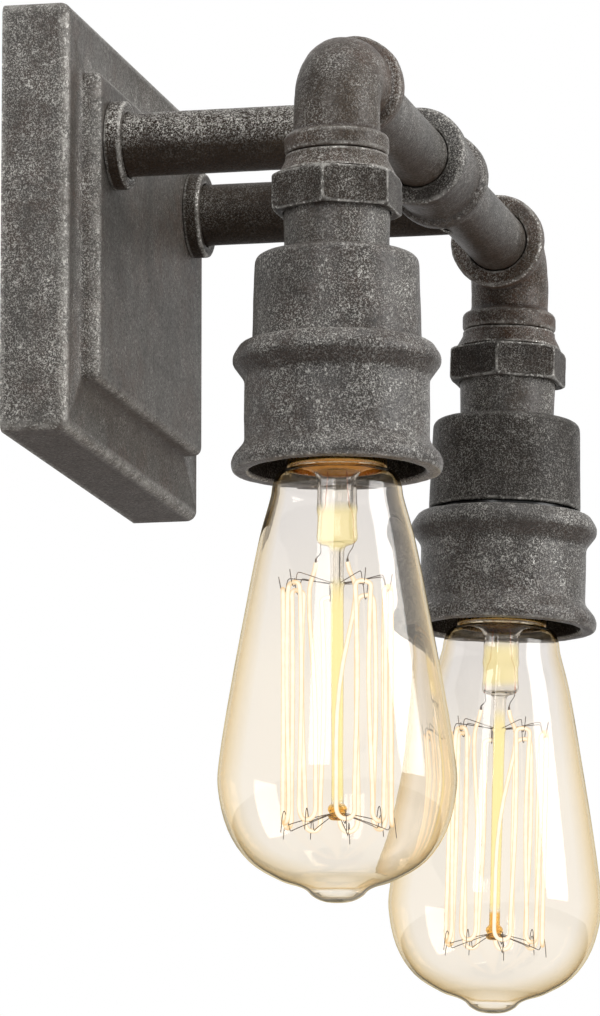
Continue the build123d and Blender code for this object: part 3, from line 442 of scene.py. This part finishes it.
def own_copy(node, name):
    """A merged copy of a CAD node's mesh, selected and active."""
    bpy.ops.object.select_all(action="DESELECT")
    piece = bpy.data.objects.new(name, frame["nodes"][node].data.copy())
    bpy.context.scene.collection.objects.link(piece)
    piece.select_set(True)
    bpy.context.view_layer.objects.active = piece
    bpy.ops.object.mode_set(mode="EDIT")
    bpy.ops.mesh.select_all(action="SELECT")
    bpy.ops.mesh.remove_doubles(threshold=1e-6)
    bpy.ops.object.mode_set(mode="OBJECT")
    return piece


# Curvature, per metre, at which an edge starts to wear and at which it is fully worn
EDGE_STARTS, EDGE_FULL = 90.0, 420.0


def mark_edges(piece):
    """Keep at each point how sharply the surface stands out, or falls in (below 0), for the finish to follow."""
    mesh = piece.data
    at, normal = numpy.empty(3 * len(mesh.vertices)), numpy.empty(3 * len(mesh.vertices))
    ends = numpy.empty(2 * len(mesh.edges), dtype=numpy.int32)
    mesh.vertices.foreach_get("co", at)
    mesh.vertices.foreach_get("normal", normal)
    mesh.edges.foreach_get("vertices", ends)
    at, normal, ends = at.reshape(-1, 3), normal.reshape(-1, 3), ends.reshape(-1, 2)
    first, second = ends[:, 0], ends[:, 1]
    step = at[second] - at[first]
    bend = ((normal[second] - normal[first]) * step).sum(1) / numpy.maximum((step ** 2).sum(1), 1e-12)
    count = numpy.bincount(ends.ravel(), minlength=len(at))

    def around(value_first, value_second):
        """The mean, at each point, of a value at the other ends of its edges."""
        total = numpy.bincount(first, weights=value_second, minlength=len(at))
        total = total + numpy.bincount(second, weights=value_first, minlength=len(at))
        return total / numpy.maximum(count, 1)

    curved = around(bend, bend)
    curved = 0.5 * curved + 0.5 * around(curved[first], curved[second])
    worn = (numpy.abs(curved) - EDGE_STARTS) / (EDGE_FULL - EDGE_STARTS)
    edge = numpy.sign(curved) * numpy.clip(worn, 0, 1)
    mesh.attributes.new("edge", "FLOAT", "POINT").data.foreach_set("value", edge.astype(numpy.float32))


# How deep the faces are sunk, as a share of the height of their lumps
LUMPS_SUNK = 0.7


def cast_skin(node, grain, lumps, lump_size, seed):
    """The piece as it came from its mould: edges a little soft, faces a little uneven."""
    piece = own_copy(node, f"{node}_casting")
    remesh = piece.modifiers.new("grain", "REMESH")
    remesh.mode = "VOXEL"
    remesh.voxel_size = grain
    bpy.ops.object.modifier_apply(modifier=remesh.name)
    smooth = piece.modifiers.new("even", "SMOOTH")
    smooth.factor = 0.5
    smooth.iterations = 2
    bpy.ops.object.modifier_apply(modifier=smooth.name)
    mark_edges(piece)
    # Taken before any point moves; each face is sunk a little, so that its lumps stay inside the CAD shape
    normals = [vertex.normal.copy() for vertex in piece.data.vertices]
    for vertex, normal in zip(piece.data.vertices, normals):
        at = vertex.co / lump_size + Vector((seed, 0, 0))
        uneven = noise.noise(at) * 0.65 + noise.noise(at * 2.7) * 0.35
        vertex.co += normal * (lumps * (uneven - LUMPS_SUNK))
    bpy.ops.object.shade_smooth()
    return piece


# Fineness of the remesh, height of the unevenness and its size across, in metres
CASTINGS = {
    "centre_coupling": (0.00055, 0.00016, 0.005),
    "elbow": (0.0006, 0.00022, 0.006),
    "union_tail": (0.0005, 0.00012, 0.005),
    "union_nut": (0.00045, 0.00012, 0.006),
    "nipple": (0.0006, 0.00008, 0.007),
    "socket_cup": (0.00065, 0.00012, 0.009),
    "bell": (0.00065, 0.00016, 0.008),
    "arm_flange": (0.00045, 0.00008, 0.005),
    "arm": (0.0007, 0.00008, 0.008),
    "cross_pipe": (0.0007, 0.00008, 0.008),
}
# How far the unevenness of the right side's castings is moved, so that they aren't the left side's twins
RIGHT_SEED = 7.3
# Finishes other than their slot's: the darker, less brushed right arm, its flange and the right cup are painted
# shade; the left arm and flange carry painted highlight on their tops; elbows, union tails, nuts and bells have
# their own browner, darker or otherwise brushed tones
FINISHES_AND_PAINTED_LIGHT = {
    "arm_left": LIT_BROWN_ARM_IRON, "arm_right": SHADED_ARM_IRON,
    "arm_flange_left": LIT_BROWN_ARM_IRON, "arm_flange_right": SHADED_ARM_IRON,
    "elbow_left": ELBOW_IRON, "elbow_right": ELBOW_IRON,
    "union_tail_left": ELBOW_IRON, "union_tail_right": ELBOW_IRON,
    "union_nut_left": NUT_IRON, "union_nut_right": NUT_IRON,
    "socket_cup_right": SHADED_CUP_IRON,
    "bell_left": BELL_IRON, "bell_right": BELL_IRON,
}
MOUTH_RADIUS = 0.0235


def lamp_place(side):
    """From a lamp's own space, its axis on Z and depths below the cross pipe, to its place on the fixture."""
    under_pipe = Matrix.Translation((SIDES[side] * LAMP_X, LAMP_Y, PIPE_Z))
    lowered = Matrix.Translation((0, 0, -SOCKET_DROP[side]))
    return under_pipe @ Matrix.Rotation(LAMP_LEAN[side], 4, "X") @ lowered


def paint_mouth_shade(casting, side):
    """Paint shade into a bell's mouth: where its faces look towards its axis, a dull and dark finish."""
    casting.data.materials.append(MOUTH_SHADE_IRON)
    level = lamp_place(side).inverted()
    turn = level.to_3x3()
    for face in casting.data.polygons:
        at, out = level @ face.center, turn @ face.normal
        radius = math.hypot(at.x, at.y)
        if at.x * out.x + at.y * out.y < -0.3 * radius and radius < MOUTH_RADIUS:
            face.material_index = 1


for stem, (grain, lumps, lump_size) in CASTINGS.items():
    for node in frame["nodes"]:
        if node == stem or node in (f"{stem}_left", f"{stem}_right"):
            seed = RIGHT_SEED if node.endswith("_right") else 0.0
            casting = stand_in(cast_skin(node, grain, lumps, lump_size, seed), "fixture", node)
            if node in FINISHES_AND_PAINTED_LIGHT:
                casting.data.materials[0] = FINISHES_AND_PAINTED_LIGHT[node]
            if stem == "bell":
                paint_mouth_shade(casting, node.split("_")[1])


# ---- Back plate: pressed sheet with soft edges ----

plate = own_copy("back_plate", "back_plate_pressing")
bpy.ops.object.shade_smooth_by_angle(angle=math.radians(32))
stand_in(plate, "fixture", "back_plate")


# ---- Bulbs ----

def turned(name, outline, facets):
    """A turned shell about the Z axis: a ring drawn down through (radius, height) pairs; radius 0 closes it."""
    bpy.ops.object.select_all(action="DESELECT")
    radius, height = outline[0]
    bpy.ops.mesh.primitive_circle_add(vertices=facets, radius=radius, location=(0, 0, height))
    piece = bpy.context.object
    piece.name = name
    bpy.ops.object.transform_apply(location=True, rotation=True, scale=True)
    bpy.ops.object.mode_set(mode="EDIT")
    for radius_next, height_next in outline[1:]:
        bpy.ops.mesh.extrude_edges_move(TRANSFORM_OT_translate={"value": (0, 0, height_next - height)})
        if radius_next == 0:
            bpy.ops.mesh.merge(type="CENTER")
            break
        factor = radius_next / radius
        bpy.ops.transform.resize(value=(factor, factor, 1), center_override=(0, 0, height_next))
        radius, height = radius_next, height_next
    bpy.ops.mesh.select_all(action="SELECT")
    bpy.ops.mesh.normals_make_consistent(inside=False)
    bpy.ops.object.mode_set(mode="OBJECT")
    bpy.ops.object.shade_smooth()
    return piece


def flowing(points, steps):
    """Points on a smooth curve through the given (radius, depth) pairs."""
    flow = []
    for index in range(len(points) - 1):
        here, there = Vector(points[index]), Vector(points[index + 1])
        before = Vector(points[index - 1]) if index else here
        after = Vector(points[index + 2]) if index + 2 < len(points) else there
        span = (there - here).length
        out = (there - before) * (span / (there - before).length)
        into = (after - here) * (span / (after - here).length)
        for step in range(steps):
            t = step / steps
            flow.append(here * (2 * t ** 3 - 3 * t ** 2 + 1) + out * (t ** 3 - 2 * t ** 2 + t)
                        + there * (3 * t ** 2 - 2 * t ** 3) + into * (t ** 3 - t ** 2))
    return flow + [Vector(points[-1])]


# Outlines of the glass and the stem: radius and depth below the cross pipe's axis, in millimetres
GLASS_OUTLINE = [
    (12.6, 105.2), (12.6, 108.0), (13.4, 108.8), (15.6, 109.8), (17.0, 112.4), (17.6, 116.0), (20.6, 127.1),
    (24.9, 149.3), (28.6, 169.6), (31.1, 185.8), (31.5, 193.5), (28.9, 204.6), (23.4, 212.8), (15.4, 217.8),
    (10.6, 219.4), (8.2, 220.6), (6.6, 222.2), (4.0, 223.48), (1.6, 223.82), (0.0, 223.85),
]
STEM_OUTLINE = [
    (11.4, 106.0), (9.6, 107.2), (6.6, 108.9), (5.4, 110.8), (5.25, 114.0), (5.3, 117.6), (5.5, 119.4),
    (5.3, 121.0), (5.4, 124.5), (5.5, 127.4), (4.6, 128.6), (2.3, 129.4), (1.85, 131.5), (1.75, 138.0),
    (2.1, 139.2), (1.75, 140.6), (1.7, 160.0), (1.6, 197.6), (2.4, 198.6), (2.5, 199.6), (2.1, 200.3),
    (2.5, 201.0), (1.9, 202.0), (0.0, 202.2),
]
GLASS_WALL, STEM_WALL = 0.0008, 0.0006
PINCH_TOP, PINCH_BOTTOM, PINCH_FLATNESS = 118.0, 130.0, 0.5


def turned_glass(name, outline, steps, wall, facets):
    """A shell of glass turned from a smooth outline, with a wall; it ends on the axis."""
    drawn = [(radius / 1000, -depth / 1000) for radius, depth in flowing(outline, steps)]
    drawn[-1] = (0, drawn[-1][1])
    piece = turned(name, drawn, facets)
    inner = piece.modifiers.new("wall", "SOLIDIFY")
    inner.thickness = wall
    inner.offset = -1
    bpy.context.view_layer.objects.active = piece
    bpy.ops.object.modifier_apply(modifier=inner.name)
    return piece


def blown_glass(side):
    """The bulb's glass: one turned shell with a wall, a rolled neck and a drawn tip."""
    piece = turned_glass(f"bulb_glass_{side}_blown", GLASS_OUTLINE, 4, GLASS_WALL, 96)
    piece.data.transform(lamp_place(side))
    return stand_in(piece, f"bulb_{side}", f"bulb_glass_{side}")


def drawn_stem(side):
    """The glass stem: flared foot, tube, flat pinch round the lead-in wires, and rod with its bead and button."""
    piece = turned_glass(f"bulb_stem_{side}_drawn", STEM_OUTLINE, 3, STEM_WALL, 32)
    for vertex in piece.data.vertices:
        depth = -vertex.co.z * 1000
        pinched = max(0.0, min(1.0, (depth - PINCH_TOP) / 2.5, (PINCH_BOTTOM - depth) / 1.5))
        vertex.co.x *= 1 - PINCH_FLATNESS * pinched
    piece.data.transform(lamp_place(side))
    return stand_in(piece, f"bulb_{side}", f"bulb_stem_{side}")


def bent_wire(name, runs, radius, side, resolution):
    """Round wires in a lamp's space, as one mesh: each follows a smooth route of (x, y, z, thickness)."""
    data = bpy.data.curves.new(name, "CURVE")
    data.dimensions = "3D"
    data.bevel_depth = radius
    data.bevel_resolution = resolution
    data.use_fill_caps = True
    data.resolution_u = 4
    for points in runs:
        spline = data.splines.new("NURBS")
        spline.points.add(len(points) - 1)
        for point, at in zip(spline.points, points):
            point.co = (*at[:3], 1)
            point.radius = at[3]
        spline.order_u = 3
        spline.use_endpoint_u = True
    piece = bpy.data.objects.new(name, data)
    bpy.context.scene.collection.objects.link(piece)
    bpy.ops.object.select_all(action="DESELECT")
    piece.select_set(True)
    bpy.context.view_layer.objects.active = piece
    bpy.ops.object.convert(target="MESH")
    bpy.ops.object.shade_smooth()
    bpy.context.object.data.transform(lamp_place(side))
    return bpy.context.object


# The cage of hairpins and the crimps that feed it: radii and depths in millimetres
CAGE_RADIUS, CAGE_TOP, CAGE_BOTTOM, HAIRPIN_LEGS = 14.4, 140.2, 202.6, 18
CRIMP_DEPTH, CRIMP_OUT, NEAR_CRIMP_OUT = 134.0, 5.6, 3.0
FILAMENT_RADIUS, SUPPORT_RADIUS = 0.00062, 0.00012
COPPER_ABOVE = 0.1288


def lamp_point(angle, radius, depth, thickness=1.0):
    """A point in a lamp's own space, from its angle, radius and depth in millimetres."""
    return (radius * math.cos(angle) / 1000, radius * math.sin(angle) / 1000, -depth / 1000, thickness)


def leg_angle(leg):
    """The legs run round the cage; the first and the last, which the lead-in wires feed, are at its front."""
    return math.pi - math.radians(11 + 338 * leg / (HAIRPIN_LEGS - 1))


def loop_top(leg):
    """Depth of the turn above a pair of legs: the hooks are bent by hand, and no two are level."""
    return CAGE_TOP + 1.3 * math.sin(leg * 2.1 + 0.6) - 0.6 * math.sin(leg * 0.9)


def hairpins(side):
    """The filament: long hairpins up and down the cage, hung a little unevenly, as one wire."""
    crimp = math.radians(102)
    points = [
        lamp_point(crimp, CRIMP_OUT, CRIMP_DEPTH - 0.3),
        lamp_point(crimp, CRIMP_OUT + 0.3, CRIMP_DEPTH + 2),
        lamp_point(crimp + 0.4, CRIMP_OUT + 3, CRIMP_DEPTH + 8),
    ]
    for leg in range(HAIRPIN_LEGS):
        angle = leg_angle(leg)
        sway = 0.035 * math.sin(leg * 2.4)
        top = loop_top(leg if leg % 2 else leg - 1)
        down = [(top + 0.9, angle), (top + 4, angle + sway), (169, angle + sway * 2.4),
                (CAGE_BOTTOM - 4, angle - sway), (CAGE_BOTTOM - 0.9, angle)]
        if leg in (0, HAIRPIN_LEGS - 1):
            down = down[2:]
        if leg % 2:
            down.reverse()
        points += [lamp_point(at, CAGE_RADIUS, depth) for depth, at in down]
        if leg < HAIRPIN_LEGS - 1:
            turn = loop_top(leg) if leg % 2 else CAGE_BOTTOM + 0.9
            points += [lamp_point(leg_angle(leg + share), CAGE_RADIUS, turn) for share in (0.25, 0.75)]
    points += [
        lamp_point(-crimp - 0.4, CRIMP_OUT + 3, CRIMP_DEPTH + 8),
        lamp_point(-crimp, NEAR_CRIMP_OUT + 0.3, CRIMP_DEPTH + 2),
        lamp_point(-crimp, NEAR_CRIMP_OUT, CRIMP_DEPTH - 0.3),
    ]
    piece = bent_wire(f"bulb_filament_{side}_wire", [points], FILAMENT_RADIUS, side, 3)
    return stand_in(piece, f"bulb_{side}", f"bulb_filament_{side}")


def supports(side):
    """The hooks that hold the hairpins, on the rod's bead and button, and the lead-in wires from the pinch."""
    runs = []
    for leg in range(0, HAIRPIN_LEGS, 2):
        angle = leg_angle(leg + 0.5)
        lift = 0.8 * math.sin(leg * 1.7)
        runs.append([lamp_point(angle, 1.2, 200.4), lamp_point(angle, 3.0, 200.8 + lift * 0.2),
                     lamp_point(angle, 12.4, 203.6 + lift), lamp_point(angle, 13.6, 204.3 + lift),
                     lamp_point(angle, 14.2, 200.6 + lift), lamp_point(angle, 14.9, 200.4 + lift),
                     lamp_point(angle, 15.4, 204.8 + lift), lamp_point(angle, 15.5, 206.2 + lift)])
    for leg in range(1, HAIRPIN_LEGS - 1, 2):
        angle = leg_angle(leg + 0.5)
        top = loop_top(leg)
        runs.append([lamp_point(angle, 1.4, 139.2), lamp_point(angle, 4.0, 138.9),
                     lamp_point(angle, 12.0, top - 2.9), lamp_point(angle, 13.2, top - 2.8),
                     lamp_point(angle, 13.7, top + 0.9), lamp_point(angle, 14.6, top + 1.2),
                     lamp_point(angle, 15.3, top - 2.0), lamp_point(angle, 15.5, top - 3.4)])
    for sign, kink, out in ((1, 4.2, CRIMP_OUT), (-1, 3.4, NEAR_CRIMP_OUT)):
        upright = sign * math.pi / 2
        runs.append([lamp_point(upright, 2.6, 108.5), lamp_point(upright, 2.8, 117.0),
                     lamp_point(upright, 4.4, 120.5), lamp_point(upright, 4.5, 127.0),
                     lamp_point(upright, 4.5, 129.4), lamp_point(upright + sign * 0.2, kink, 131.2),
                     lamp_point(upright + sign * 0.2, out, CRIMP_DEPTH - 1.6, 1.1),
                     lamp_point(upright + sign * 0.21, out, CRIMP_DEPTH - 0.9, 3.2),
                     lamp_point(upright + sign * 0.21, out, CRIMP_DEPTH + 0.3, 3.0)])
    piece = bent_wire(f"bulb_supports_{side}_wires", runs, SUPPORT_RADIUS, side, 2)
    stand_in(piece, f"bulb_{side}", f"bulb_supports_{side}")
    piece.data.materials.append(COPPER)
    level = lamp_place(side).inverted()
    for face in piece.data.polygons:
        if (level @ face.center).z > -COPPER_ABOVE:
            face.material_index = 1
    return piece


for side in SIDES:
    blown_glass(side)
    drawn_stem(side)
    hairpins(side)
    supports(side)


# ---- Floor, background and light ----

# How white the surround is: 1 where it is seen or looked at through glass, less where mirrored and as light
MIRRORED_WHITE, AMBIENT_LIGHT = 0.6, 0.15
FLOOR_HEIGHT, FLOOR_SEEN_WHITE = -0.75, 0.8


def world_light():
    """A white surround: full white where it is seen, less where it is mirrored, and soft as light."""
    world = bpy.data.worlds.new("white studio")
    bpy.context.scene.world = world
    world.use_nodes = True
    tree = world.node_tree
    tree.nodes.clear()
    output = tree.nodes.new("ShaderNodeOutputWorld")
    background = tree.nodes.new("ShaderNodeBackground")
    background.inputs["Color"].default_value = (1, 1, 1, 1)
    path = tree.nodes.new("ShaderNodeLightPath")
    seen = path.outputs["Is Camera Ray"]
    for name, share in (("Is Glossy Ray", MIRRORED_WHITE), ("Is Transmission Ray", 1.0)):
        part = tree.nodes.new("ShaderNodeMath")
        part.operation = "MULTIPLY"
        tree.links.new(path.outputs[name], part.inputs[0])
        part.inputs[1].default_value = share
        either = tree.nodes.new("ShaderNodeMath")
        either.operation = "MAXIMUM"
        tree.links.new(seen, either.inputs[0])
        tree.links.new(part.outputs[0], either.inputs[1])
        seen = either.outputs[0]
    strength = tree.nodes.new("ShaderNodeMapRange")
    tree.links.new(seen, strength.inputs["Value"])
    strength.inputs["To Min"].default_value = AMBIENT_LIGHT
    strength.inputs["To Max"].default_value = 1.0
    tree.links.new(strength.outputs["Result"], background.inputs["Strength"])
    tree.links.new(background.outputs[0], output.inputs["Surface"])


def softbox(name, place, target, size, watts):
    """An area light aimed at a point."""
    bpy.ops.object.light_add(type="AREA", location=place)
    lamp = bpy.context.object
    lamp.name = name
    lamp.data.shape = "RECTANGLE"
    lamp.data.size, lamp.data.size_y = size
    lamp.data.energy = watts
    lamp.rotation_euler = (Vector(target) - Vector(place)).to_track_quat("-Z", "Y").to_euler()


def floor_below():
    """A pale floor under the fixture, mostly its own colour where the camera sees it, and clear from below."""
    bpy.ops.object.select_all(action="DESELECT")
    bpy.ops.mesh.primitive_plane_add(size=8, location=(0, 0, FLOOR_HEIGHT))
    floor = bpy.context.object
    floor.name = "studio_floor"
    s = Shader("pale studio floor")
    base = s.node("ShaderNodeBsdfDiffuse")
    pale = s.blend(s.band(s.noise(3, 3), 0.3, 0.7), tint(240, 240, 240), tint(246, 246, 246))
    s.put(pale, base.inputs["Color"])
    seen = s.product(s.node("ShaderNodeLightPath").outputs["Is Camera Ray"], FLOOR_SEEN_WHITE)
    shown = s.mixed(seen, base, s.glow(pale, 1.0))
    from_below = s.node("ShaderNodeNewGeometry").outputs["Backfacing"]
    one_sided = s.mixed(from_below, shown, s.node("ShaderNodeBsdfTransparent"))
    s.link(one_sided.outputs[0], s.output.inputs["Surface"])
    floor.data.materials.append(s.material)


world_light()
floor_below()
softbox("key_softbox", (-0.1, -1.72, 0.45), (0, -0.08, -0.05), (0.9, 1.3), 18)
softbox("fill_softbox", (-1.0, -0.02, 0.32), (-0.1, -0.1, -0.05), (0.36, 0.8), 3.4)
softbox("top_softbox", (-0.3, -0.4, 1.4), (0, -0.1, 0), (0.7, 0.7), 5.5)


# ---- Camera ----

yaw, pitch = math.radians(CAMERA_YAW), math.radians(CAMERA_PITCH)
aim = Vector((math.cos(pitch) * math.sin(yaw), math.cos(pitch) * math.cos(yaw), math.sin(pitch)))
bpy.ops.object.camera_add(location=CAMERA_AT)
camera = bpy.context.object
camera.name = "photo_camera"
camera.data.sensor_width = 36
camera.data.lens = FOCAL_PX * camera.data.sensor_width / FRAME_HEIGHT_PX
right = aim.cross(Vector((0, 0, 1))).normalized()
up = right.cross(aim)
camera.matrix_world = Matrix((
    (right.x, up.x, -aim.x, CAMERA_AT[0]),
    (right.y, up.y, -aim.y, CAMERA_AT[1]),
    (right.z, up.z, -aim.z, CAMERA_AT[2]),
    (0, 0, 0, 1),
))
camera.data.clip_end = 20
bpy.context.scene.camera = camera
bpy.context.scene.view_settings.view_transform = "Standard"
